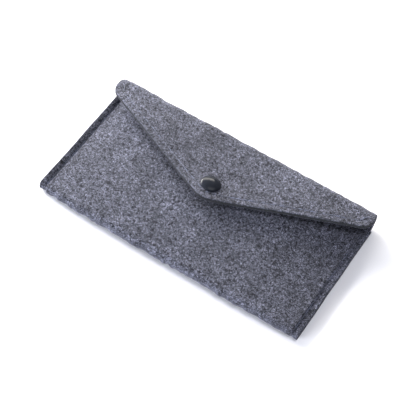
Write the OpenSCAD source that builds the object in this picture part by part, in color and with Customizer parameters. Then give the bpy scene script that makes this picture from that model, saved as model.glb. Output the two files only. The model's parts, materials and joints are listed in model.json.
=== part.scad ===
// Soft felt eyeglasses case: a sewn pouch with a pointed flap and one snap fastener.
// +X runs along the long side, +Y from the bottom fold to the top fold, +Z up.
// The case lies on its back panel, with the origin under the middle of its outline.

/* [Case] */
// Width of the sewn pouch
pouch_w = 180; // [170:1:181]
// Depth from the bottom fold to the top fold
case_d = 94; // [92:1:98]
// Thickness of the felt
felt_t = 3; // [2.9:0.05:3.1]

/* [Pouch] */
// Space between the layers along the bottom fold
fold_gap = 2.2; // [1:0.1:2.6]
// Space between the layers where the pouch is fullest
pocket_gap = 6.4; // [6:0.1:6.5]
// Distance from the top fold to the mouth of the pouch
mouth_back = 13; // [12:0.5:16]
// Distance from each side of the pouch to its line of stitches
seam_inset = 3.6; // [3:0.1:4]

/* [Flap] */
// Width of the flap, which overhangs the pouch a little on each side
flap_w = 182.8; // [182:0.2:184]
// Height of the rounded top fold
top_fold_h = 15; // [14.8:0.1:15.4]
// Angle at which the closed flap rises from the top fold
flap_rise = 5.5; // [5.3:0.1:5.7]
// Length of each side of the flap, from the top fold to where the slanted edge would start
side_len = 8.2; // [6:0.1:10]
// Length of the flap, from the top fold to where its slanted edges would meet
point_len = 47.1; // [45:0.1:48]
// Radius of the flap's two side corners
corner_r = 5; // [4.8:0.1:6]
// Radius of the flap's point
point_r = 13; // [10:0.5:14]
// Distance from the flap's edge to its line of stitches
flap_inset = 4.4; // [4:0.1:4.5]

/* [Snap fastener] */
// Diameter of the domed cap
cap_d = 12.5; // [11:0.1:12.6]
// Distance of the snap from the top fold, along the flap
snap_reach = 35.2; // [34.8:0.1:35.6]
// Sideways place of the snap
snap_x = -0.8; // [-1:0.1:1]
// Diameter of the stud's head
stud_head_d = 4.5; // [4:0.1:4.6]

/* [Stitching] */
// Diameter of the sewing thread
thread_d = 0.5; // [0.4:0.05:0.6]
// Distance from one stitch to the next
stitch_pitch = 3.6; // [3.2:0.1:5]
// Share of that distance over which the thread shows
stitch_share = 0.84; // [0.6:0.02:0.9]

/* [Hidden] */
$fn = 64;

FELT = [0.41, 0.42, 0.46];
THREAD = [0.45, 0.49, 0.58];
ENAMEL = [0.06, 0.07, 0.09];
NICKEL = [0.72, 0.72, 0.70];

// Felt layers
seam_gap = 0.05;                                // between the layers where they are sewn
fold_r = felt_t + (fold_gap + seam_gap) / 2;    // outer radius of the bottom fold
fold_y = -case_d / 2 + fold_r;                  // where the bottom fold meets the panels
hinge_r = top_fold_h / 2;                       // outer radius of the top fold
hinge_in = hinge_r - felt_t;                    // inner radius of the top fold
hinge_y = case_d / 2 - hinge_r;                 // the flap turns about this line
hinge_z = hinge_r;
mouth_y = case_d / 2 - mouth_back;
seam_x = pouch_w / 2 - seam_inset;
swell_w = seam_x - 2.4;                         // half of the width that stands open
swell_turn = 130;                               // how far round a sine the swell runs
x_steps = 16;
y_steps = 10;
arc_steps = 8;

// Grooves that the seam threads are pulled into
groove_w = 1.2;
groove_deep = 0.6;
sewn_top = 2 * felt_t + seam_gap;
thread_r = thread_d / 2;
seam_start = fold_y + 0.5;
seam_end = mouth_y - 1.5;

// Flap outline
slant = atan((point_len - side_len) / (flap_w / 2));
corner_x = flap_w / 2 - corner_r;
corner_y = -side_len + corner_r * (1 - sin(slant)) / cos(slant);
point_y = -point_len + point_r / cos(slant);

// Snap fastener, as heights above the underside of the closed flap
cap_h = 2.2;
cap_wall = 0.45;
cap_foot = 0.7;
cap_room = 0.1;                                 // between the cap's rim and the stitches beside it
cap_flange_r = 4.6;
cap_flange_t = 0.5;
cap_post_r = 1.6;
flare_r = 2.2;
flare_t = 0.25;
socket_r = 5;
socket_neck_r = 4.3;
socket_brim = 0.8;
socket_h = 2.3;
socket_top = 0.55;
socket_bore_r = 2.9;
spring_z = -1.6;
spring_wire_r = 0.3;
spring_r = 3.1;
spring_slot_r = 3.5;
spring_turn = 320;
stud_flange_r = 5.2;
stud_flange_t = 0.6;
stud_seat = -3.5;                               // top of the felt under the stud
stud_neck_r = 1.9;
stud_head = -1.95;                              // where the stud's head starts
stud_top = -0.9;
stud_post_r = 1.2;
stud_post_top = -1.5;
stud_post_flange_r = 4.6;
stud_post_flange_t = 0.5;
stud_post_seat = -5.4;                          // underside of that felt, in the pocket

// Swell of the pouch across its width, and from the bottom fold (0) to the mouth (1)
function swell_x(x) = max(0, 1 - pow(abs(x) / swell_w, 3));
function swell_y(v) = fold_gap + (pocket_gap - fold_gap) * sin(swell_turn * v);
function gap_at(x, v) = seam_gap + swell_x(x) * swell_y(v);

// Places across the width: both sewn margins, and even steps over the swell between them
function x_places() = concat(
    [-pouch_w / 2],
    [for (i = [0 : x_steps]) -swell_w + 2 * swell_w * i / x_steps],
    [pouch_w / 2]
);

// One line of the bottom fold, from the back panel round to the front panel
function fold_row(x, grow) = [
    for (k = [0 : arc_steps])
        let (
            gap = gap_at(x, 0),
            a = -90 + 180 * k / arc_steps,
            r = gap / 2 + grow
        )
        [x, fold_y - r * cos(a), felt_t + gap / 2 + r * sin(a)]
];

// One line of the front panel, from the bottom fold to the mouth
function front_row(x, grow) = [
    for (k = [0 : y_steps])
        let (v = k / y_steps)
        [x, fold_y + (mouth_y - fold_y) * v, felt_t + gap_at(x, v) + grow]
];

// Points on an arc of radius r about c, from angle a to angle b in n steps
function arc(c, r, a, b, n) = [
    for (k = [0 : n])
        let (t = a + (b - a) * k / n)
        c + r * [cos(t), sin(t)]
];

// The flap's edge, drawn in by an inset: left corner, point, right corner
function flap_edge(inset, corner_n, point_n) = concat(
    arc([-corner_x, corner_y], corner_r - inset, 180, 270 - slant, corner_n),
    arc([0, point_y], point_r - inset, 270 - slant, 270 + slant, point_n),
    arc([corner_x, corner_y], corner_r - inset, 270 + slant, 360, corner_n)
);

// Closed sheet between two matching grids of points
module sheet_between(outer, inner) {
    rows = len(outer);
    cols = len(outer[0]);
    half = rows * cols;
    function at(i, j) = i * cols + j;
    points = [for (side = [outer, inner]) for (row = side) for (p = row) p];
    skin = [
        for (i = [0 : rows - 2])
            for (j = [0 : cols - 2])
                for (tri = [
                    [at(i, j), at(i, j + 1), at(i + 1, j + 1)],
                    [at(i, j), at(i + 1, j + 1), at(i + 1, j)]
                ])
                    tri
    ];
    lining = [for (tri = skin) [tri[0] + half, tri[2] + half, tri[1] + half]];
    rim = concat(
        [for (i = [0 : rows - 2]) at(i, 0)],
        [for (j = [0 : cols - 2]) at(rows - 1, j)],
        [for (i = [rows - 1 : -1 : 1]) at(i, cols - 1)],
        [for (j = [cols - 1 : -1 : 1]) at(0, j)]
    );
    edge = [
        for (k = [0 : len(rim) - 1])
            let (a = rim[k], b = rim[(k + 1) % len(rim)])
            for (tri = [[a, b, b + half], [a, b + half, a + half]])
                tri
    ];
    polyhedron(points, concat(skin, lining, edge));
}

// A ring, as a tube from height z0 to height z1
module tube(r_out, r_in, z0, z1) {
    translate([0, 0, z0])
        difference() {
            cylinder(r = r_out, h = z1 - z0);
            translate([0, 0, -1])
                cylinder(r = r_in, h = z1 - z0 + 2);
        }
}

// A round slug from height z0 to height z1
module slug(r, z0, z1) {
    translate([0, 0, z0])
        cylinder(r = r, h = z1 - z0);
}

// Even stitches on a straight line from a to b, with their middle at height z
module stitch_line(a, b, z) {
    run = norm(b - a);
    n = max(1, round(run / stitch_pitch));
    step = run / n;
    shown = step * stitch_share;
    turn = atan2(b[1] - a[1], b[0] - a[0]);
    for (i = [0 : n - 1])
        translate([a[0], a[1], z])
            rotate([0, 0, turn])
                translate([(i + 0.5) * step - shown / 2, 0, 0])
                    rotate([0, 90, 0])
                        cylinder(r = thread_r, h = shown, $fn = 16);
}

module seam_stitches(side, z) {
    stitch_line([side * seam_x, seam_start], [side * seam_x, seam_end], z);
}

module flap_stitches(z) {
    path = flap_edge(flap_inset, 1, 2);
    at_hinge()
        for (k = [0 : len(path) - 2])
            stitch_line(path[k], path[k + 1], hinge_in + z);
}

// Groove along one seam, from height z up
module seam_groove(side, z) {
    translate([side * seam_x - groove_w / 2, -case_d, z])
        cube([groove_w, 2 * case_d, groove_deep]);
}

// The line of the hinge, turned so that +Z leaves the closed flap squarely
module at_hinge() {
    translate([0, hinge_y, hinge_z])
        rotate([-flap_rise, 0, 0])
            children();
}

// The axis of the snap, from the underside of the closed flap
module at_snap() {
    at_hinge()
        translate([snap_x, -snap_reach, hinge_in])
            children();
}

module back_panel() {
    color(FELT)
        difference() {
            translate([-pouch_w / 2, fold_y, 0])
                cube([pouch_w, hinge_y - fold_y, felt_t]);
            for (side = [-1, 1])
                seam_groove(side, 0);
        }
}

module bottom_fold() {
    color(FELT)
        sheet_between(
            [for (x = x_places()) fold_row(x, felt_t)],
            [for (x = x_places()) fold_row(x, 0)]
        );
}

module front_panel() {
    color(FELT)
        difference() {
            sheet_between(
                [for (x = x_places()) front_row(x, felt_t)],
                [for (x = x_places()) front_row(x, 0)]
            );
            for (side = [-1, 1])
                seam_groove(side, sewn_top - groove_deep);
            at_snap()
                slug(stud_flange_r, stud_seat, stud_seat + felt_t);
            at_snap()
                slug(stud_post_flange_r, stud_post_seat - felt_t, stud_post_seat);
            at_snap()
                slug(stud_post_r, stud_post_seat - 1, stud_seat + 1);
        }
}

module flap_fold() {
    color(FELT)
        translate([-flap_w / 2, hinge_y, hinge_z])
            rotate([90, 0, 90])
                rotate([0, 0, -90])
                    rotate_extrude(angle = 180 - flap_rise, $fn = 96)
                        translate([hinge_in, 0])
                            square([felt_t, flap_w]);
}

module flap() {
    color(FELT)
        at_hinge()
            translate([0, 0, hinge_in])
                difference() {
                    linear_extrude(felt_t)
                        polygon(concat(
                            [[flap_w / 2, 0], [-flap_w / 2, 0]],
                            flap_edge(0, 8, 12)
                        ));
                    translate([snap_x, -snap_reach, 0])
                        slug(cap_post_r, -1, felt_t + 1);
                }
}

module left_seam_needle_thread() {
    color(THREAD)
        seam_stitches(-1, sewn_top - groove_deep + thread_r);
}

module left_seam_bobbin_thread() {
    color(THREAD)
        seam_stitches(-1, groove_deep - thread_r);
}

module right_seam_needle_thread() {
    color(THREAD)
        seam_stitches(1, sewn_top - groove_deep + thread_r);
}

module right_seam_bobbin_thread() {
    color(THREAD)
        seam_stitches(1, groove_deep - thread_r);
}

// The cap hides the stitches it sits on, so they stop at its rim
module flap_needle_thread() {
    color(THREAD)
        difference() {
            flap_stitches(felt_t + thread_r);
            at_snap()
                slug(cap_d / 2 + cap_room, 0, 2 * felt_t);
        }
}

module flap_bobbin_thread() {
    color(THREAD)
        flap_stitches(-thread_r);
}

// Solid button with a domed top, its rim cap_foot high, shrunk by an inset
module dome(inset) {
    r = cap_d / 2;
    rise = cap_h - cap_foot;
    dome_r = (r * r + rise * rise) / (2 * rise);
    intersection() {
        translate([0, 0, cap_h - dome_r])
            sphere(r = dome_r - inset, $fn = 128);
        translate([0, 0, inset > 0 ? -1 : 0])
            cylinder(r = r - inset, h = cap_h + 1);
    }
}

module snap_cap() {
    color(ENAMEL)
        at_snap()
            translate([0, 0, felt_t])
                difference() {
                    dome(0);
                    dome(cap_wall);
                }
}

module cap_post() {
    color(NICKEL)
        at_snap() {
            slug(cap_flange_r, felt_t, felt_t + cap_flange_t);
            slug(cap_post_r, -socket_top, felt_t + cap_flange_t / 2);
            slug(flare_r, -socket_top, -socket_top + flare_t);
        }
}

module snap_socket() {
    color(NICKEL)
        at_snap()
            difference() {
                union() {
                    slug(socket_r, -socket_brim, 0);
                    slug(socket_neck_r, -socket_h, 0);
                }
                slug(cap_post_r, -socket_h - 1, 1);
                slug(flare_r, -socket_h - 1, -socket_top + flare_t);
                slug(socket_bore_r, -socket_h - 1, -socket_top);
                slug(spring_slot_r, spring_z - spring_wire_r - 0.1, spring_z + spring_wire_r + 0.1);
            }
}

module socket_spring() {
    color(NICKEL)
        at_snap()
            translate([0, 0, spring_z])
                rotate_extrude(angle = spring_turn)
                    translate([spring_r, 0])
                        circle(r = spring_wire_r, $fn = 16);
}

module snap_stud() {
    color(NICKEL)
        at_snap()
            difference() {
                union() {
                    slug(stud_flange_r, stud_seat, stud_seat + stud_flange_t);
                    slug(stud_neck_r, stud_seat, stud_top - 0.2);
                    slug(stud_head_d / 2, stud_head, stud_head + 0.6);
                    translate([0, 0, stud_head + 0.6])
                        cylinder(
                            r1 = stud_head_d / 2,
                            r2 = stud_head_d / 3,
                            h = stud_top - stud_head - 0.6
                        );
                }
                slug(stud_post_r, stud_seat - 1, stud_post_top);
            }
}

module stud_post() {
    color(NICKEL)
        at_snap() {
            slug(stud_post_flange_r, stud_post_seat - stud_post_flange_t, stud_post_seat);
            slug(stud_post_r, stud_post_seat - stud_post_flange_t / 2, stud_post_top);
        }
}

back_panel();
bottom_fold();
front_panel();
flap_fold();
flap();
left_seam_needle_thread();
left_seam_bobbin_thread();
right_seam_needle_thread();
right_seam_bobbin_thread();
flap_needle_thread();
flap_bobbin_thread();
snap_cap();
cap_post();
snap_socket();
socket_spring();
snap_stud();
stud_post();
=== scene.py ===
# Felt eyeglasses case: looks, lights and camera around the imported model. Lengths are in metres.
import json
import math

import bpy
import numpy as np
from mathutils import Matrix, Vector


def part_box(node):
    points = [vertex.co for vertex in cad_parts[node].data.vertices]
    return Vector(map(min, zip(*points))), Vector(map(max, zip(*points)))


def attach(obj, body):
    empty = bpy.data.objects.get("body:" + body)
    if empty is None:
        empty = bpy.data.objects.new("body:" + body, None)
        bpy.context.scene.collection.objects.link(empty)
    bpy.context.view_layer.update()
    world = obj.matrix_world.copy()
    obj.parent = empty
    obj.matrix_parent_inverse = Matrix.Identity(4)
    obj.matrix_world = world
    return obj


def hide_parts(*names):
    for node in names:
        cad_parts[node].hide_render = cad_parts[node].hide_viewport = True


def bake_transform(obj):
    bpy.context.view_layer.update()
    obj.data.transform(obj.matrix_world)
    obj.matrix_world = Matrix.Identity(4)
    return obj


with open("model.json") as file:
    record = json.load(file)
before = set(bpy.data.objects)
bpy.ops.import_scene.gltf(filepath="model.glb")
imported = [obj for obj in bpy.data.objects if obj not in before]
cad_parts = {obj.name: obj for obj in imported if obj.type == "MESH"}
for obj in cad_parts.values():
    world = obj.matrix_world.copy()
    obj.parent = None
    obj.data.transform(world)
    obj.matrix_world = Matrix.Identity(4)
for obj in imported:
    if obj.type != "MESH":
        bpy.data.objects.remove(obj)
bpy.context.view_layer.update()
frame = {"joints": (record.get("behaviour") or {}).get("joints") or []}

MM = 0.001

# ---- Places and sizes read from the frame ------------------------------------------------------
back_low, back_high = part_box("back_panel")
front_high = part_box("front_panel")[1]
bottom_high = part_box("bottom_fold")[1]
flap_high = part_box("flap")[1]
thread_low, thread_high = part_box("right_seam_needle_thread")
cap_low, cap_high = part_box("snap_cap")
hinge = Vector(frame["joints"][0]["pos_m"])

FELT = back_high.z - back_low.z
HALF_W = back_high.x
FLAP_HALF = flap_high.x
FOLD_Y = back_low.y
MOUTH_Y = front_high.y
FRONT_LEN = MOUTH_Y - FOLD_Y
SEAM_X = (thread_low.x + thread_high.x) / 2
SEAM_START, SEAM_END = thread_low.y, thread_high.y
# Outer and inner radius of the top fold
RING_OUT = hinge.z
RING_IN = RING_OUT - FELT

# ---- The pouch ---------------------------------------------------------------------------------
# Air between the two panels at the seams, and how much more there is at the bottom fold and
# where the pocket swells most
SEAM_GAP = 0.05 * MM
FOLD_GAP = bottom_high.z - 2 * FELT - SEAM_GAP
POCKET_GAP = front_high.z - 2 * FELT - SEAM_GAP
# Half width of the swell, and how much of a sine wave it follows from the bottom to the mouth
SWELL_W = SEAM_X - 2.4 * MM
SWELL_TURN = math.radians(110)
# How far the right seam and its cut edge sit outside the CAD model's
RIGHT_EASE = 0.9 * MM
# Places in from a cut edge, closer together at its rounding
EDGE_STEPS = np.array([0, 0.05, 0.15, 0.3, 0.5, 0.9]) * MM
EDGE_R = 0.45 * MM
# Rows of faces across a cut face, and how much of the face's painted shade its two edges get, as a
# share of the face's
CUT_ROWS = 5
RIM_SHADE_SHARE = 0.7

# ---- Random fields -----------------------------------------------------------------------------
# Added to places before they are looked up in a random field
SHIFT = 0.5
# Where the front panel starts along the blank's random fields
FRONT_ALONG = -100 * MM
# Seeds, one for each surface, fold and cut edge
OUTSIDE_SEED, INSIDE_SEED, BOTTOM_RIDGE_SEED, SIDE_EDGE_SEED = 11, 31, 25, 5
FLAP_TOP_SEED, FLAP_UNDER_SEED, FLAP_EDGE_SEED = 51, 71, 6
FOLD_OUT_SEED, FOLD_IN_SEED, TOP_RIDGE_SEED = 91, 95, 28

# ---- The flap's outline, measured from the top fold along the flap -----------------------------
FLAP_RISE = math.radians(5.5)
SIDE_LEN = 8.2 * MM
POINT_LEN = 47.1 * MM
CORNER_R = 9.5 * MM
POINT_R = 13 * MM
SLANT = math.atan((POINT_LEN - SIDE_LEN) / FLAP_HALF)
CORNER_X = FLAP_HALF - CORNER_R
CORNER_V = SIDE_LEN - CORNER_R * (1 - math.sin(SLANT)) / math.cos(SLANT)
POINT_V = POINT_LEN - POINT_R / math.cos(SLANT)
# Outside of this, the points across the flap and the top fold are closer together
FLAP_FINE_X = CORNER_X - 1 * MM

# The closed flap's own directions: root to point, and up out of the felt
FLAP_DOWN = np.array([0, -math.cos(FLAP_RISE), math.sin(FLAP_RISE)])
FLAP_UP = np.array([0, math.sin(FLAP_RISE), math.cos(FLAP_RISE)])
FLAP_ROOT = np.array(hinge) + RING_IN * FLAP_UP

# ---- Stitches ----------------------------------------------------------------------------------
STITCH = 3.6 * MM
GROOVE_W = 0.9 * MM
# Distance of the flap's stitches from its cut edge
FLAP_INSET = 4.4 * MM
# A thread, and the two plies that it is twisted from
THREAD_R = 0.2 * MM
PLY_R = 0.62 * THREAD_R
PLY_SIDES = 6
TWIST_LEN = 1.5 * MM
# How deep a stitch dives into the felt at its ends, and how far its middle bows out
DIVE = 0.55 * MM
BOW = 0.06 * MM
ALONG_STITCH = np.linspace(0, 1, 17)

# ---- The snap ----------------------------------------------------------------------------------
cap_middle = np.array((cap_low + cap_high) / 2) - FLAP_ROOT
SNAP_X = float(cap_middle[0])
SNAP_V = float(cap_middle @ FLAP_DOWN)
SNAP = FLAP_ROOT + SNAP_V * FLAP_DOWN + np.array([SNAP_X, 0, 0])
SNAP_FRAME = Matrix.Translation(Vector(SNAP)) @ Matrix.Rotation(-FLAP_RISE, 4, "X")
# The cap sits askew: it leans towards the top fold, and to the right
CAP_LEAN = math.radians(9)
CAP_ROLL = math.radians(6.5)
# In millimetres, as the profiles of the turned pieces are
FELT_MM = FELT / MM
CAP_R = (cap_high.x - cap_low.x) / 2 / MM
CAP_H = 2.2


# ---- Small tools -------------------------------------------------------------------------------
def smooth(t):
    """Rises gently from 0 to 1 as t does."""
    t = np.clip(t, 0, 1)
    return t * t * (3 - 2 * t)


def hump(d, width):
    """1 at distance 0, falling away over about one width."""
    return np.exp(-((d / width) ** 2))


def steps(low, high, step):
    """Even places from low to high, about one step apart."""
    return np.linspace(low, high, max(2, int(round((high - low) / step)) + 1))


def lumps(u, v, cell, seed):
    """Smooth uneven field from -1 to 1, with lumps about one cell wide."""
    size = 97
    table = np.random.default_rng(seed).uniform(-1, 1, (size, size))
    a, b = u / cell, v / cell
    i, j = np.floor(a).astype(int), np.floor(b).astype(int)
    p, q = smooth(a - i), smooth(b - j)
    here, there = i % size, (i + 1) % size
    near, far = j % size, (j + 1) % size
    low = table[here, near] * (1 - p) + table[there, near] * p
    high = table[here, far] * (1 - p) + table[there, far] * p
    return low * (1 - q) + high * q


def unevenness(x, s, seed):
    """How far pressed felt stands proud of a perfect sheet, at x and at s along the blank."""
    broad = 0.16 * lumps(x + SHIFT, s + SHIFT, 17 * MM, seed)
    middle = 0.08 * lumps(x + SHIFT, s + SHIFT, 6 * MM, seed + 1)
    fine = 0.045 * lumps(x + SHIFT, s + SHIFT, 2.2 * MM, seed + 2)
    return (broad + middle + fine) * MM


def fold_bumps(x, seed, size):
    """Short ridges, size metres high, where felt is pulled over a fold."""
    coarse = lumps(x + SHIFT, 0 * x, 3.6 * MM, seed)
    fine = lumps(x + SHIFT, 0 * x, 1.8 * MM, seed + 1)
    return size * (0.6 * coarse + 0.4 * fine)


def rounding(d):
    """How far a surface drops at distance d from a cut edge."""
    t = np.clip(1 - d / EDGE_R, 0, 1)
    return EDGE_R * (1 - np.sqrt(1 - t * t))


def across(half, fine_low):
    """Places across the width, closer together along the stitches and at both cut edges."""
    inner = steps(0, fine_low, 0.75 * MM)
    outer = steps(fine_low, half - EDGE_STEPS[-1], 0.4 * MM)
    right = np.concatenate([inner, outer[1:-1], half - EDGE_STEPS[::-1]])
    return np.concatenate([-right[:0:-1], right])


def new_object(name, points, faces):
    mesh = bpy.data.meshes.new(name)
    mesh.from_pydata(np.asarray(points, float).tolist(), [], faces)
    mesh.polygons.foreach_set("use_smooth", [True] * len(mesh.polygons))
    mesh.validate()
    mesh.update()
    thing = bpy.data.objects.new(name, mesh)
    bpy.context.scene.collection.objects.link(thing)
    return thing


def mark_cut_shade(thing, half, rim, joined, cut_shade):
    """Writes the shade painted on the felt's cut faces, standing in for the shade that falls on
    them: the full amount on the faces, a share of it on their edges, and 0 on the skin and on ends
    that are joined to another piece."""
    cut_shade_values = np.zeros(len(thing.data.vertices))
    cut_shade_values[2 * half :] = cut_shade
    cut_shade_values[rim] = cut_shade_values[rim + half] = RIM_SHADE_SHARE * cut_shade
    for border in joined:
        cut_shade_values[2 * half :][np.isin(np.tile(rim, CUT_ROWS - 1), border)] = 0.0
        inner = border[1:-1]
        cut_shade_values[inner] = cut_shade_values[inner + half] = 0.0
    thing.data.attributes.new("cut_shade", "FLOAT", "POINT").data.foreach_set("value", cut_shade_values)


def mark_sharp(thing, half, joined):
    """Sharp edges round the joined ends, so that the end face doesn't shade the felt beside it."""
    loops = [set(border) | {i + half for i in border} for border in joined]
    flags = thing.data.attributes.new("sharp_edge", "BOOLEAN", "EDGE")
    pairs = [tuple(edge.vertices) for edge in thing.data.edges]
    marks = [any(a in loop and b in loop for loop in loops) for a, b in pairs]
    flags.data.foreach_set("value", marks)


def felt_sheet(name, skin, lining, sharp_ends=(), cut_shade=1.0):
    """Closed felt sheet between two grids of points (rows across, columns along).
    sharp_ends names the ends, first or last column, that meet another piece of the blank.
    The last argument sets how dark the shade painted on its cut faces is."""
    rows, cols = skin.shape[:2]
    half = rows * cols
    skin, lining = skin.reshape(-1, 3), lining.reshape(-1, 3)
    at = np.arange(half).reshape(rows, cols)
    quads = np.stack([at[:-1, :-1], at[1:, :-1], at[1:, 1:], at[:-1, 1:]], -1).reshape(-1, 4)
    faces = quads.tolist() + (quads[:, ::-1] + half).tolist()
    rim = np.concatenate([at[:-1, 0], at[-1, :-1], at[:0:-1, -1], at[0, :0:-1]])
    points, rings = [skin, lining], [rim]
    for k in range(1, CUT_ROWS):
        t = k / CUT_ROWS
        points.append(skin[rim] * (1 - t) + lining[rim] * t)
        rings.append(np.arange(len(rim)) + 2 * half + (k - 1) * len(rim))
    rings.append(rim + half)
    for upper, lower in zip(rings, rings[1:]):
        faces += np.stack([upper, lower, np.roll(lower, -1), np.roll(upper, -1)], -1).tolist()
    thing = new_object(name, np.concatenate(points), faces)
    borders = {"first": at[:, 0], "last": at[:, -1]}
    joined = [borders[end] for end in sharp_ends]
    mark_cut_shade(thing, half, rim, joined, cut_shade)
    mark_sharp(thing, half, joined)
    return thing


def dress(thing, look, slot_name, body, *nodes):
    """Gives a piece its material, hides the CAD nodes it stands for, and hangs it on the body it
    rides. The slot name is not used.
    """
    thing.data.materials.clear()
    thing.data.materials.append(look)
    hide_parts(*nodes)
    if body:
        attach(thing, body)
    return thing


# ---- Materials ---------------------------------------------------------------------------------
class Nodes:
    """Short-hand for building one material's node tree."""

    def __init__(self, name):
        self.material = bpy.data.materials.new(name)
        self.material.use_nodes = True
        self.tree = self.material.node_tree
        self.shader = self.tree.nodes["Principled BSDF"]
        self.coords = self.tree.nodes.new("ShaderNodeTexCoord").outputs["Object"]

    def add(self, kind, inputs=(), **settings):
        """Node with the given inputs, each a value or the socket that feeds it."""
        node = self.tree.nodes.new(kind)
        for key, value in settings.items():
            setattr(node, key, value)
        for key, value in dict(inputs).items():
            if isinstance(value, bpy.types.NodeSocket):
                self.tree.links.new(value, node.inputs[key])
            else:
                node.inputs[key].default_value = value
        return node

    def placed(self, stretch, turn):
        """The object's coordinates, stretched and turned."""
        values = {"Vector": self.coords, "Scale": stretch}
        values["Rotation"] = (0.35 * turn, 0.2 * turn, turn)
        return self.add("ShaderNodeMapping", values).outputs[0]

    def noise(self, scale, detail, roughness, distortion=0.0, stretch=(1, 1, 1), turn=0.0):
        values = {"Vector": self.placed(stretch, turn), "Scale": scale, "Detail": detail}
        values.update({"Roughness": roughness, "Distortion": distortion})
        return self.add("ShaderNodeTexNoise", values).outputs["Fac"]

    def ridges(self, scale, distortion, stretch, turn):
        """Thin curly ridges, like fibres lying over each other."""
        values = {"Vector": self.placed(stretch, turn), "Scale": scale, "Detail": 2.0}
        values.update({"Roughness": 0.6, "Distortion": distortion, "Offset": 0.9, "Gain": 1.0})
        kind = "RIDGED_MULTIFRACTAL"
        node = self.add("ShaderNodeTexNoise", values, noise_type=kind, normalize=True)
        return node.outputs["Fac"]

    def ramp(self, factor, stops):
        """Colour that runs through stops of (place, colour)."""
        node = self.add("ShaderNodeValToRGB", {"Fac": factor})
        while len(node.color_ramp.elements) < len(stops):
            node.color_ramp.elements.new(0.5)
        for element, (place, colour) in zip(node.color_ramp.elements, stops):
            element.position = place
            element.color = (*colour, 1)
        return node.outputs["Color"]

    def grey_ramp(self, factor, stops):
        """Grey that runs through stops of (place, level)."""
        return self.ramp(factor, [(place, (level,) * 3) for place, level in stops])

    def times(self, a, b):
        """Product of two colours."""
        values = {0: 1.0, 6: a, 7: b}
        node = self.add("ShaderNodeMix", values, data_type="RGBA", blend_type="MULTIPLY")
        return node.outputs[2]

    def larger(self, a, b):
        return self.add("ShaderNodeMath", {0: a, 1: b}, operation="MAXIMUM").outputs[0]

    def bump(self, height, strength, distance, under=None):
        """Bumped normal, on top of the normal under it if there is one."""
        values = {"Height": height, "Strength": strength, "Distance": distance}
        if under is not None:
            values["Normal"] = under
        return self.add("ShaderNodeBump", values).outputs[0]

    def link(self, name, socket):
        self.tree.links.new(socket, self.shader.inputs[name])

    def set(self, **values):
        for key, value in values.items():
            self.shader.inputs[key.replace("_", " ")].default_value = value


# Colours of the fibres, from the dark gaps between them to the palest
FIBRE_TONES = [
    (0.44, (0.001, 0.001, 0.001)),
    (0.51, (0.018, 0.019, 0.021)),
    (0.57, (0.073, 0.075, 0.097)),
    (0.67, (0.187, 0.194, 0.268)),
]
# How much of the felt's colour is left on a cut face: painted shade, a dark olive that stands in
# for the shade falling on the cut faces
CUT_FACE_SHADE = (0.09, 0.092, 0.075)


def felt_material():
    n = Nodes("felt")
    fibre = {"detail": 4, "roughness": 0.62, "distortion": 1.4}
    lengthwise = n.noise(1020, **fibre, stretch=(1, 2.4, 1.6), turn=0.6)
    crosswise = n.noise(1090, **fibre, stretch=(2.4, 1, 1.6), turn=-0.5)
    fibres = n.larger(lengthwise, crosswise)
    strands = n.ridges(700, distortion=3.0, stretch=(1, 1.5, 1.3), turn=0.9)
    clumps = n.noise(620, detail=4, roughness=0.65, distortion=0.8)
    patches = n.noise(95, detail=3, roughness=0.6)
    shades = n.noise(26, detail=2, roughness=0.5, turn=1.1)
    grain = n.noise(2600, detail=3, roughness=0.7)
    tone = n.ramp(fibres, FIBRE_TONES)
    tone = n.times(tone, n.grey_ramp(clumps, [(0.36, 0.12), (0.53, 1.3), (0.68, 1.8)]))
    tone = n.times(tone, n.grey_ramp(strands, [(0.3, 0.7), (0.7, 1.5)]))
    tone = n.times(tone, n.grey_ramp(patches, [(0.3, 0.72), (0.7, 1.26)]))
    tone = n.times(tone, n.grey_ramp(shades, [(0.35, 0.88), (0.65, 1.12)]))
    # Painted shade: the cut faces, and more lightly their edges, are darkened towards the cut-face
    # shade tone
    cut_shade = n.add("ShaderNodeAttribute", attribute_name="cut_shade").outputs["Fac"]
    tone = n.times(tone, n.ramp(cut_shade, [(0.0, (1.0,) * 3), (1.0, CUT_FACE_SHADE)]))
    n.link("Base Color", tone)
    n.set(Roughness=0.95, Sheen_Weight=0.12, Sheen_Roughness=0.6, Sheen_Tint=(0.75, 0.78, 0.9, 1))
    n.set(Specular_IOR_Level=0.15)
    fuzz = n.bump(grain, strength=0.35, distance=0.12 * MM)
    n.link("Normal", n.bump(fibres, strength=0.8, distance=0.5 * MM, under=fuzz))
    return n.material


def thread_material():
    n = Nodes("thread")
    ply = n.noise(1500, detail=2, roughness=0.5)
    tone = n.ramp(ply, [(0.35, (0.09, 0.105, 0.17)), (0.65, (0.155, 0.185, 0.29))])
    # Painted shade: the thread is darkened in random stretches, standing in for the shade where it
    # sinks into the felt
    sunk_shade = n.grey_ramp(n.noise(230, detail=2, roughness=0.5), [(0.42, 0.35), (0.6, 1.1)])
    n.link("Base Color", n.times(tone, sunk_shade))
    n.link("Normal", n.bump(ply, strength=0.3, distance=0.05 * MM))
    n.set(Roughness=0.5, Sheen_Weight=0.3)
    return n.material


def enamel_material():
    n = Nodes("cap_enamel")
    haze = n.noise(240, detail=3, roughness=0.6)
    n.link("Base Color", n.ramp(haze, [(0.3, (0.013, 0.015, 0.020)), (0.7, (0.019, 0.021, 0.028))]))
    n.link("Roughness", n.grey_ramp(haze, [(0.3, 0.13), (0.7, 0.20)]))
    ripples = n.noise(420, detail=2, roughness=0.5)
    n.link("Normal", n.bump(ripples, strength=0.05, distance=0.03 * MM))
    n.set(Specular_IOR_Level=0.09)
    return n.material


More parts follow.
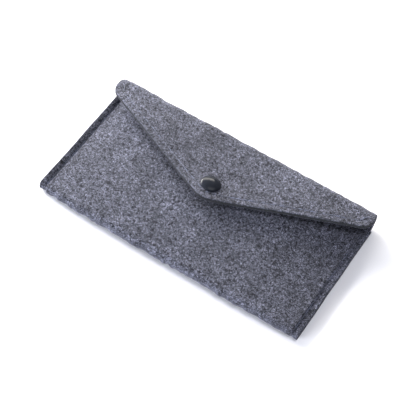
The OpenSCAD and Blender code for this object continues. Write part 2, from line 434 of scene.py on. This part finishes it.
def metal_material(name, dark, light, rough):
    n = Nodes(name)
    swirl = n.noise(900, detail=4, roughness=0.65, distortion=0.4, stretch=(1, 1, 6))
    n.link("Base Color", n.ramp(swirl, [(0.3, dark), (0.7, light)]))
    n.link("Roughness", n.grey_ramp(swirl, [(0.3, rough * 0.7), (0.7, rough * 1.4)]))
    n.link("Normal", n.bump(swirl, strength=0.12, distance=0.02 * MM))
    n.set(Metallic=1.0)
    return n.material


FELT_LOOK = felt_material()
THREAD_LOOK = thread_material()
ENAMEL_LOOK = enamel_material()
NICKEL_LOOK = metal_material("nickel_plate", (0.50, 0.49, 0.46), (0.72, 0.70, 0.66), 0.22)
BRONZE_LOOK = metal_material("spring_bronze", (0.42, 0.30, 0.14), (0.62, 0.46, 0.24), 0.3)


# ---- The pouch ---------------------------------------------------------------------------------
def swell(x, v):
    """Air between the panels at x, and at v from 0 at the bottom fold to 1 at the mouth."""
    share = np.clip(1 - (np.abs(x) / SWELL_W) ** 3, 0, 1)
    return SEAM_GAP + share * (FOLD_GAP + (POCKET_GAP - FOLD_GAP) * np.sin(SWELL_TURN * v))


def off_seams(x):
    """1 well inside the pocket, falling to 0 at the seams, where the two panels touch."""
    return smooth((SWELL_W - np.abs(x)) / (5 * MM))


def seam_dip(x, y, depth):
    """How far the stitches pull the surface in, most where the thread dives into the felt. It is
    less on the right, where the margin is pressed down."""
    stitch_end = 0.5 + 0.5 * np.cos(2 * math.pi * (y - SEAM_START) / STITCH)
    depth = np.where(x < 0, 1.0, 0.55) * depth
    return depth * (0.72 + 0.28 * stitch_end) * hump(np.abs(x) - SEAM_X, GROOVE_W)


def margin_flare(x):
    """Outside the stitches the left cut edge turns up, and the right one is pressed thinner."""
    start = SEAM_X - 0.6 * MM
    outside = np.abs(x) - start
    share = np.clip(outside / (HALF_W - start), 0, 1)
    pressed = 1.2 * MM * smooth(outside / (1.1 * MM)) + 0.3 * MM * share
    return np.where(x < 0, 1.5 * MM * share, -pressed)


def inner_flare(x):
    """The same on the front panel's inner surface, which gives way half as much on the right."""
    return np.where(x < 0, 1.0, 0.5) * margin_flare(x)


def front_top(x, y):
    """Height of the front panel's outer surface."""
    v = np.clip((y - FOLD_Y) / FRONT_LEN, 0, 1)
    along = y - FOLD_Y + FRONT_ALONG
    height = 2 * FELT + swell(x, v) + unevenness(x, along, OUTSIDE_SEED) + margin_flare(x)
    height = height - seam_dip(x, y, 0.95 * MM)
    return height - rounding(HALF_W - np.abs(x)) - rounding(MOUTH_Y - y)


def back_part(x_row, outside, seed):
    """Grid of the back panel, from the top fold to the bottom fold."""
    s_row = steps(0, hinge.y - FOLD_Y, 0.9 * MM)
    x, s = np.meshgrid(x_row, s_row, indexing="ij")
    y = hinge.y - s
    proud = unevenness(x, -s, seed) * smooth(s / (4 * MM))
    edge = rounding(HALF_W - np.abs(x))
    if outside:
        # The felt's own weight flattens the underside, so only its hollows show
        z = np.maximum(0.0, -0.3 * proud) + seam_dip(x, y, 0.6 * MM) + edge
    else:
        z = FELT + proud * off_seams(x) - edge + 0.5 * np.minimum(0, margin_flare(x))
    return np.stack([x, y, z], -1)


def bottom_part(x_row, outside, seed):
    """Grid of the bottom fold: half a turn round the air between the panels."""
    a_row = np.linspace(0, math.pi, 17)[1:]
    x, a = np.meshgrid(x_row, a_row, indexing="ij")
    gap = swell(x, 0)
    edge = rounding(HALF_W - np.abs(x))
    if outside:
        proud = unevenness(x, FRONT_ALONG + 4 * MM * (a - math.pi), seed)
        bumps = fold_bumps(x, BOTTOM_RIDGE_SEED, 0.9 * MM) * np.sin(a) ** 2
        dip = seam_dip(x, FOLD_Y + 0 * x, 0.9 * MM) * smooth(np.sin(a / 2))
        r = gap / 2 + FELT + proud * np.sin(a / 2) ** 2 + bumps - dip - edge
        flare = margin_flare(x) * smooth(a / math.pi)
    else:
        r = gap / 2 + edge
        flare = inner_flare(x)
    y = FOLD_Y - r * np.sin(a)
    z = FELT + gap / 2 - r * np.cos(a) + flare
    return np.stack([x, y, np.maximum(z, 0)], -1)


def front_part(x_row, outside, seed):
    """Grid of the front panel, from the bottom fold to the mouth."""
    s_row = steps(0, FRONT_LEN - EDGE_STEPS[-1], 0.9 * MM)[1:]
    s_row = np.concatenate([s_row, FRONT_LEN - EDGE_STEPS[-2::-1]])
    x, s = np.meshgrid(x_row, s_row, indexing="ij")
    y = FOLD_Y + s
    if outside:
        z = front_top(x, y)
    else:
        z = FELT + swell(x, s / FRONT_LEN) + inner_flare(x)
        z = z + rounding(HALF_W - np.abs(x)) + rounding(MOUTH_Y - y)
        z = z - unevenness(x, s, seed) * off_seams(x)
    return np.stack([x, y, z], -1)


def shape_corners(skin):
    """The stitches draw the ends of the bottom fold in, the cut sides wander a little, and the
    right seam sits further out."""
    x, y = skin[..., 0], skin[..., 1]
    near_side = np.exp(-(HALF_W - np.abs(x)) / (5 * MM))
    near_fold = smooth((FOLD_Y + 6 * MM - y) / (9 * MM))
    skin[..., 1] = y + 0.5 * MM * near_side * near_fold
    wander = 0.22 * MM * lumps(0.3 * np.sign(x) + SHIFT, y + SHIFT, 14 * MM, SIDE_EDGE_SEED)
    skin[..., 0] = x + wander * near_side + RIGHT_EASE * smooth((x - SEAM_X) / (14 * MM) + 1)


def make_pouch():
    x_row = across(HALF_W, SEAM_X - 2.6 * MM)
    surfaces = []
    for outside, seed in ((True, OUTSIDE_SEED), (False, INSIDE_SEED)):
        parts = [part(x_row, outside, seed) for part in (back_part, bottom_part, front_part)]
        surfaces.append(np.concatenate(parts, axis=1))
        shape_corners(surfaces[-1])
    # The pouch's cut faces get a little less painted shade than the flap's and the top fold's
    felt = felt_sheet("pouch_felt", *surfaces, sharp_ends=["first"], cut_shade=0.88)
    return dress(felt, FELT_LOOK, "felt", "pouch", "back_panel", "bottom_fold", "front_panel")


pouch = make_pouch()


# ---- The flap and the top fold -----------------------------------------------------------------
def flap_depth(x):
    """Length of the flap at x, from the top fold to its cut edge."""
    a = np.abs(x)
    line = SIDE_LEN + (FLAP_HALF - a) * math.tan(SLANT)
    point = POINT_V + np.sqrt(np.clip(POINT_R**2 - a**2, 0, None))
    past_corner = np.clip(a - CORNER_X, 0, None)
    corner = CORNER_V + np.sqrt(np.clip(CORNER_R**2 - past_corner**2, 0, None))
    depth = np.where(a < POINT_R * math.sin(SLANT), point, line)
    return np.where(a > CORNER_X + CORNER_R * math.sin(SLANT), corner, depth)


def edge_distance(x, v):
    """Distance of a point on the flap from its nearest cut edge."""
    a = np.abs(x)
    line = (SIDE_LEN + (FLAP_HALF - a) * math.tan(SLANT) - v) * math.cos(SLANT)
    near = np.minimum(line, FLAP_HALF - a)
    over = v - POINT_V
    at_point = (over > 0) & (a < over * math.tan(SLANT))
    near = np.where(at_point, POINT_R - np.hypot(a, over), near)
    out, down = a - CORNER_X, v - CORNER_V
    at_corner = (out > 0) & (down > 0) & (out > down * math.tan(SLANT))
    return np.where(at_corner, CORNER_R - np.hypot(out, down), near)


def flap_groove(x, v, depth):
    """How far the flap's stitches pull its surface in, with a wave along the stitches."""
    wave = 0.5 + 0.5 * np.cos(2 * math.pi * np.abs(x) / (STITCH * math.cos(SLANT)))
    return depth * (0.5 + 0.5 * wave) * hump(edge_distance(x, v) - FLAP_INSET, GROOVE_W)


def flap_lift(x, v):
    """How far the flap stands off its own flat plane: drawn in and tilted round the snap, and
    gaping towards both ends."""
    from_snap = np.hypot(x - SNAP_X, v - SNAP_V)
    dimple = -0.35 * MM * hump(from_snap, 8 * MM)
    tilt = math.tan(CAP_LEAN) * (v - SNAP_V) - math.tan(CAP_ROLL) * (x - SNAP_X)
    gape = 0.8 * MM * smooth((np.abs(x) - 10 * MM) / (40 * MM)) * smooth(v / (12 * MM))
    return (dimple + tilt * hump(from_snap, 11 * MM) + gape) * smooth(v / (10 * MM))


def flap_point(x, v, height):
    """Point of the closed flap at x, v along it, and a height above its underside."""
    x, v, height = np.broadcast_arrays(x, v, height)
    place = FLAP_ROOT + v[..., None] * FLAP_DOWN + (height + flap_lift(x, v))[..., None] * FLAP_UP
    return place + x[..., None] * np.array([1.0, 0, 0])


def off_fold(v):
    """0 where the flap meets the top fold, 1 from 3 mm on."""
    return smooth(v / (3 * MM))


def flap_top(x, v):
    """Height of the flap's upper surface above its underside."""
    change = unevenness(x, v, FLAP_TOP_SEED) - flap_groove(x, v, 0.14 * MM)
    return FELT + change * off_fold(v) - rounding(edge_distance(x, v))


def flap_under(x, v):
    """Height of the flap's lower surface above its flat underside."""
    change = unevenness(x, v, FLAP_UNDER_SEED) + flap_groove(x, v, 0.2 * MM)
    return change * off_fold(v) + rounding(edge_distance(x, v))


def flap_grid():
    """Grid of x and v over the flap, with rows closer together towards its cut edge."""
    x_row = across(FLAP_HALF, FLAP_FINE_X)
    from_edge = np.concatenate([EDGE_STEPS, steps(1.9 * MM, 8 * MM, 0.5 * MM)]) / math.cos(SLANT)
    columns = []
    for x in x_row:
        depth = float(flap_depth(np.array(x)))
        fine = from_edge * min(1.0, 0.8 * depth / from_edge[-1])
        coarse = np.linspace(0, depth - fine[-1], 42)[:-1]
        columns.append(np.concatenate([coarse, depth - fine[::-1]]))
    v = np.array(columns)
    return np.repeat(x_row[:, None], v.shape[1], axis=1), v


def make_flap():
    x, v = flap_grid()
    uneven = lumps(x + SHIFT, 0 * v + SHIFT, 24 * MM, FLAP_EDGE_SEED)
    wander = 0.3 * MM * uneven * (v / POINT_LEN) ** 0.5
    shorter = 0.5 * MM * (v / np.max(v, axis=1, keepdims=True)) * smooth(x / (30 * MM))
    along = v + wander - shorter
    skin = flap_point(x, along, flap_top(x, v))
    lining = flap_point(x, along, flap_under(x, v))
    felt = felt_sheet("flap_felt", skin[:, ::-1], lining[:, ::-1], sharp_ends=["last"])
    return dress(felt, FELT_LOOK, "felt", "flap", "flap")


def make_top_fold():
    """Half a turn of felt from the back panel up and over to the flap, which is a little wider."""
    x_row = across(FLAP_HALF, FLAP_FINE_X)
    start, end = -math.pi / 2, math.pi / 2 - FLAP_RISE
    x, a = np.meshgrid(x_row, np.linspace(start, end, 40), indexing="ij")
    ease, widening = 0.3, 1.1
    off_ends = smooth((a - start) / ease) * smooth((end - a) / ease)
    edge = rounding(FLAP_HALF - np.abs(x))
    narrow = 1 - (1 - HALF_W / FLAP_HALF) * smooth((end - a) / widening)
    along = 6 * MM * a
    bumps = fold_bumps(x, TOP_RIDGE_SEED, 0.38 * MM)
    outer = RING_OUT - edge + (unevenness(x, along, FOLD_OUT_SEED) + bumps) * off_ends
    inner = RING_IN + edge - unevenness(x, along, FOLD_IN_SEED) * off_ends
    sheets = []
    for r in (outer, inner):
        z = np.maximum(0, hinge.z + r * np.sin(a))
        sheets.append(np.stack([x * narrow, hinge.y + r * np.cos(a), z], -1))
    fold = felt_sheet("top_fold_felt", *sheets, sharp_ends=["first", "last"])
    dress(fold, FELT_LOOK, "felt", None, "flap_fold")
    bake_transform(fold)
    return fold


flap = make_flap()
top_fold = make_top_fold()


# ---- Sewing threads ----------------------------------------------------------------------------
def add_ply(points, faces, middle, side, up):
    """Adds one ply, a closed tube of rings round its middle line."""
    first = len(points)
    for centre in middle:
        for m in range(PLY_SIDES):
            c = 2 * math.pi * m / PLY_SIDES
            points.append(centre + PLY_R * (math.cos(c) * side + math.sin(c) * up))
    for k in range(len(middle) - 1):
        for m in range(PLY_SIDES):
            a = first + k * PLY_SIDES + m
            b = first + k * PLY_SIDES + (m + 1) % PLY_SIDES
            faces.append((a, b, b + PLY_SIDES, a + PLY_SIDES))
    last = first + (len(middle) - 1) * PLY_SIDES
    faces.append(tuple(range(first + PLY_SIDES - 1, first - 1, -1)))
    faces.append(tuple(range(last, last + PLY_SIDES)))


def thread_piece(name, stitches, body, node):
    """All stitches of one thread: each is two plies twisted together, from one hole to the next.
    A stitch is (start, end, up), with up pointing out of the felt."""
    points, faces = [], []
    t = ALONG_STITCH
    for start, end, up in stitches:
        run = end - start
        length = np.linalg.norm(run)
        side = np.cross(up, run / length)
        dive = DIVE * (np.abs(2 * t - 1) ** 5)
        bow = BOW * np.sin(math.pi * t)
        middle = start + t[:, None] * run + (bow - dive)[:, None] * up
        for ply in (0, math.pi):
            twist = ply + 2 * math.pi * t * length / TWIST_LEN
            off = np.cos(twist)[:, None] * side + np.sin(twist)[:, None] * up
            add_ply(points, faces, middle + 0.5 * THREAD_R * off, side, up)
    thing = new_object(name, points, faces)
    return dress(thing, THREAD_LOOK, "thread", body, node)


def seam_stitches(side, top):
    """Stitches of a side seam, on the front panel or under the back panel."""
    x = side * SEAM_X
    eased = x + (RIGHT_EASE if side > 0 else 0.0)
    count = int(round((SEAM_END - SEAM_START) / STITCH))
    ends = np.linspace(SEAM_START, SEAM_END, count + 1)
    made = []
    for y0, y1 in zip(ends, ends[1:]):
        z = 0.32 * MM
        if top:
            z = float(front_top(np.array(x), np.array((y0 + y1) / 2))) + 0.5 * THREAD_R
        start, end = np.array([eased, y0, z]), np.array([eased, y1, z])
        made.append((start, end, np.array([0, 0, 1.0 if top else -1.0])))
    return made


def flap_path():
    """Points along the flap's line of stitches, one for each needle hole."""
    corner = CORNER_R - FLAP_INSET
    point = POINT_R - FLAP_INSET
    x0 = CORNER_X + corner * math.sin(SLANT)
    v0 = CORNER_V + corner * math.cos(SLANT)
    x1 = point * math.sin(SLANT)
    v1 = POINT_V + point * math.cos(SLANT)
    count = int(round(math.hypot(x0 - x1, v1 - v0) / STITCH))
    line = [(x0 + (x1 - x0) * k / count, v0 + (v1 - v0) * k / count) for k in range(count + 1)]
    right = [(CORNER_X + corner, max(CORNER_V - 3 * MM, 0.5 * MM))] + line
    left = [(-x, v) for x, v in right]
    return left + [(0, POINT_V + point)] + right[::-1]


def flap_stitches(top):
    """Stitches on the flap's upper or lower side. The cap covers some of the upper ones."""
    path = flap_path()
    made = []
    for (xa, va), (xb, vb) in zip(path, path[1:]):
        xm, vm = np.array((xa + xb) / 2), np.array((va + vb) / 2)
        if top and math.hypot(xm - SNAP_X, vm - SNAP_V) < CAP_R * MM:
            continue
        if top:
            height = float(flap_top(xm, vm)) + 0.7 * THREAD_R
        else:
            height = float(flap_under(xm, vm)) - 0.9 * THREAD_R
        start = flap_point(np.array(xa), np.array(va), np.array(height))
        end = flap_point(np.array(xb), np.array(vb), np.array(height))
        made.append((start, end, FLAP_UP if top else -FLAP_UP))
    return made


def make_seam_threads():
    made = []
    for word, side in (("left", -1), ("right", 1)):
        for kind, top in (("needle", True), ("bobbin", False)):
            name = f"{word}_seam_{kind}_"
            made.append(
                thread_piece(name + "stitches", seam_stitches(side, top), "pouch", name + "thread")
            )
    return made


threads = make_seam_threads()
flap_needle = thread_piece(
    "flap_needle_stitches", flap_stitches(True), "flap", "flap_needle_thread"
)
flap_bobbin = thread_piece(
    "flap_bobbin_stitches", flap_stitches(False), "flap", "flap_bobbin_thread"
)


# ---- The snap fastener -------------------------------------------------------------------------
def revolve(outline):
    """Points and faces of a closed loop of (radius, height) turned about its axis."""
    around = 96
    points, faces, rings = [], [], []
    for r, z in outline:
        if r < 1e-9:
            rings.append([len(points)] * around)
            points.append((0, 0, z))
        else:
            rings.append(list(range(len(points), len(points) + around)))
            for m in range(around):
                c = 2 * math.pi * m / around
                points.append((r * math.cos(c), r * math.sin(c), z))
    for lower, upper in zip(rings, rings[1:] + rings[:1]):
        for m in range(around):
            q = (m + 1) % around
            corners = [lower[m], lower[q], upper[q], upper[m]]
            kept = [c for k, c in enumerate(corners) if c != corners[k - 1]]
            if len(kept) > 2:
                faces.append(kept)
    return points, faces


def turned_piece(name, profile, look, slot_name, body, node, pose=None):
    """Turned piece on the snap's axis. The profile is a closed loop of (radius, height) in
    millimetres above the flap's underside, going up the outside first."""
    thing = new_object(name, *revolve(np.array(profile) * MM))
    thing.data.transform(SNAP_FRAME @ (pose or Matrix()))
    return dress(thing, look, slot_name, body, node)


def arc(cr, cz, r, start, end, count):
    """Part of a circle about (cr, cz), from start to end in degrees, 0 outwards and 90 up."""
    angles = np.radians(np.linspace(start, end, count))
    return [(cr + r * math.cos(t), cz + r * math.sin(t)) for t in angles]


def make_cap():
    """Hollow domed cap with a rounded rim that presses into the felt."""
    rim = 0.42
    wall = 0.45
    rise = CAP_H - 0.75
    edge_r = CAP_R - rim * 0.35
    dome_r = (edge_r**2 + rise**2) / (2 * rise)
    dome_middle = FELT_MM + CAP_H - dome_r
    edge_angle = math.degrees(math.acos(edge_r / dome_r))
    low = FELT_MM - 0.25
    dome = arc(0, dome_middle, dome_r, edge_angle + 1.5, 90, 26)
    hollow = arc(0, dome_middle, dome_r - wall, 90, edge_angle + 7, 12)
    lip = arc(CAP_R - rim, low + rim, rim, -90, 62, 9)
    profile = lip + dome[1:-1] + [(0, dome[-1][1]), (0, hollow[0][1])] + hollow[1:]
    profile += [(CAP_R - 2.2 * rim, low + 0.1)]
    pose = Matrix.Rotation(CAP_ROLL, 4, "Y") @ Matrix.Rotation(-CAP_LEAN, 4, "X")
    turned_piece("snap_cap_shell", profile, ENAMEL_LOOK, "cap_enamel", "flap", "snap_cap", pose)


def make_cap_post():
    """Rivet through the flap: a spread tip under the felt, a shank, and a flange in the cap."""
    tip = [(0, -0.6)] + arc(1.9, -0.42, 0.18, -90, 90, 5)
    shank = [(1.5, -0.2), (1.5, FELT_MM + 0.05)]
    flange = arc(4.4, FELT_MM + 0.25, 0.2, -90, 90, 5) + [(0, FELT_MM + 0.45)]
    profile = tip + shank + flange
    turned_piece("cap_rivet", profile, NICKEL_LOOK, "snap_metal", "flap", "cap_post")


def make_socket():
    """Female half of the snap: a rolled mouth, a wall, a flange on the felt, and a hollow."""
    mouth = [(2.95, -2.05)] + arc(3.6, -2.0, 0.3, -180, 0, 7)
    wall = [(3.95, -1.2)]
    flange = arc(4.65, -0.5, 0.32, -110, 90, 8)
    eyelet = [(1.55, -0.05), (1.55, -0.5), (2.7, -0.62)]
    hollow = [(2.95, -0.85), (3.45, -1.1), (3.5, -1.95), (3.2, -2.05)]
    profile = mouth + wall + flange + eyelet + hollow
    turned_piece("socket_body", profile, NICKEL_LOOK, "snap_metal", "flap", "snap_socket")


def make_stud():
    """Male half of the snap: a flange on the front panel, a waisted neck and a round head."""
    seat = -3.5
    flange = [(1.25, seat)] + arc(4.95, seat + 0.28, 0.25, -90, 90, 7) + [(3.4, seat + 0.62)]
    neck = arc(2.35, seat + 1.0, 0.45, -90, -180, 5) + [(1.88, -2.1)]
    head = arc(1.85, -1.62, 0.4, -60, 60, 7) + [(1.6, -0.98), (0.9, -0.92), (0, -0.92)]
    bore = [(0, -1.5), (1.25, -1.5)]
    profile = flange + neck + head + bore
    turned_piece("stud_body", profile, NICKEL_LOOK, "snap_metal", "pouch", "snap_stud")


def make_stud_post():
    """Rivet through the front panel: a flange inside the pocket, and a shank up into the stud."""
    seat = -5.4
    flange = [(0, seat - 0.5)] + arc(4.35, seat - 0.25, 0.24, -90, 90, 6)
    shank = [(1.18, seat), (1.18, -1.52), (0, -1.52)]
    turned_piece("stud_rivet", flange + shank, NICKEL_LOOK, "snap_metal", "pouch", "stud_post")


def make_spring():
    """Open ring of round wire inside the socket, drawn in a little at its four sides."""
    around, sides, wire = 80, 8, 0.28 * MM
    height = -1.6 * MM
    points, faces = [], []
    for k in range(around + 1):
        a = math.radians(20 + 320 * k / around)
        r = (3.12 - 0.1 * math.cos(2 * a) ** 4) * MM
        for m in range(sides):
            c = 2 * math.pi * m / sides
            out = r + wire * math.cos(c)
            points.append((out * math.cos(a), out * math.sin(a), height + wire * math.sin(c)))
    for k in range(around):
        for m in range(sides):
            a, b = k * sides + m, k * sides + (m + 1) % sides
            faces.append((a, a + sides, b + sides, b))
    faces.append(tuple(range(sides)))
    faces.append(tuple(range(around * sides + sides - 1, around * sides - 1, -1)))
    thing = new_object("spring_ring", points, faces)
    thing.data.transform(SNAP_FRAME)
    dress(thing, BRONZE_LOOK, "spring_metal", "flap", "socket_spring")


make_cap()
make_cap_post()
make_socket()
make_stud()
make_stud_post()
make_spring()


# ---- Floor, lights and camera ------------------------------------------------------------------
def make_floor():
    reach = 3
    corners = [(-reach, -reach, 0), (reach, -reach, 0), (reach, reach, 0), (-reach, reach, 0)]
    floor = new_object("floor", corners, [(0, 1, 2, 3)])
    floor.location.z = -0.02 * MM
    n = Nodes("floor")
    n.set(Base_Color=(0.91, 0.91, 0.93, 1), Roughness=0.9, Specular_IOR_Level=0.0)
    floor.data.materials.append(n.material)


def softbox(name, azimuth, elevation, size, power, colour):
    """Large soft light aimed at the case; azimuth runs from the back towards the right."""
    distance = 1.1
    turn, rise = math.radians(azimuth), math.radians(elevation)
    level = math.cos(rise)
    towards = Vector((math.sin(turn) * level, math.cos(turn) * level, math.sin(rise)))
    data = bpy.data.lights.new(name, "AREA")
    data.shape = "RECTANGLE"
    data.size, data.size_y = size
    data.energy = power
    data.color = colour
    light = bpy.data.objects.new(name, data)
    light.location = distance * towards
    light.rotation_euler = (-towards).to_track_quat("-Z", "Y").to_euler()
    bpy.context.scene.collection.objects.link(light)


def make_lights():
    softbox("window", -72, 19, size=(0.8, 0.5), power=38.5, colour=(1.0, 0.98, 0.98))
    softbox("back_softbox", -34, 22, size=(1.1, 0.28), power=14.5, colour=(1.0, 0.965, 0.88))
    softbox("overhead", 60, 68, size=(0.6, 0.6), power=6, colour=(0.92, 0.93, 1.0))
    softbox("front_fill", 206, 10, size=(0.8, 0.24), power=24, colour=(0.88, 0.91, 1.0))
    world = bpy.data.worlds.new("studio")
    world.use_nodes = True
    back = world.node_tree.nodes["Background"]
    back.inputs["Color"].default_value = (0.93, 0.94, 1.0, 1)
    back.inputs["Strength"].default_value = 0.23
    bpy.context.scene.world = world


def make_camera():
    """Camera at the photograph's angle, measured from straight in front of the case."""
    azimuth, elevation, roll = math.radians(32.9), math.radians(57.12), math.radians(0.93)
    distance = 0.7316
    target = Vector((-4.2 * MM, -0.18 * MM, 5 * MM))
    level = math.cos(elevation)
    away = Vector((math.sin(azimuth) * level, -math.cos(azimuth) * level, math.sin(elevation)))
    right = (-away).cross(Vector((0, 0, 1))).normalized()
    up = right.cross(-away)
    turned_right = right * math.cos(roll) + up * math.sin(roll)
    turned_up = up * math.cos(roll) - right * math.sin(roll)
    data = bpy.data.cameras.new("camera")
    data.lens = 110.5
    data.sensor_width = 36
    data.clip_start = 0.05
    camera = bpy.data.objects.new("camera", data)
    columns = [turned_right, turned_up, away, target + away * distance]
    rows = [[column[axis] for column in columns] for axis in range(3)]
    camera.matrix_world = Matrix(rows + [[0, 0, 0, 1]])
    bpy.context.scene.collection.objects.link(camera)
    bpy.context.scene.camera = camera


make_floor()
make_lights()
make_camera()
bpy.context.scene.view_settings.view_transform = "Standard"
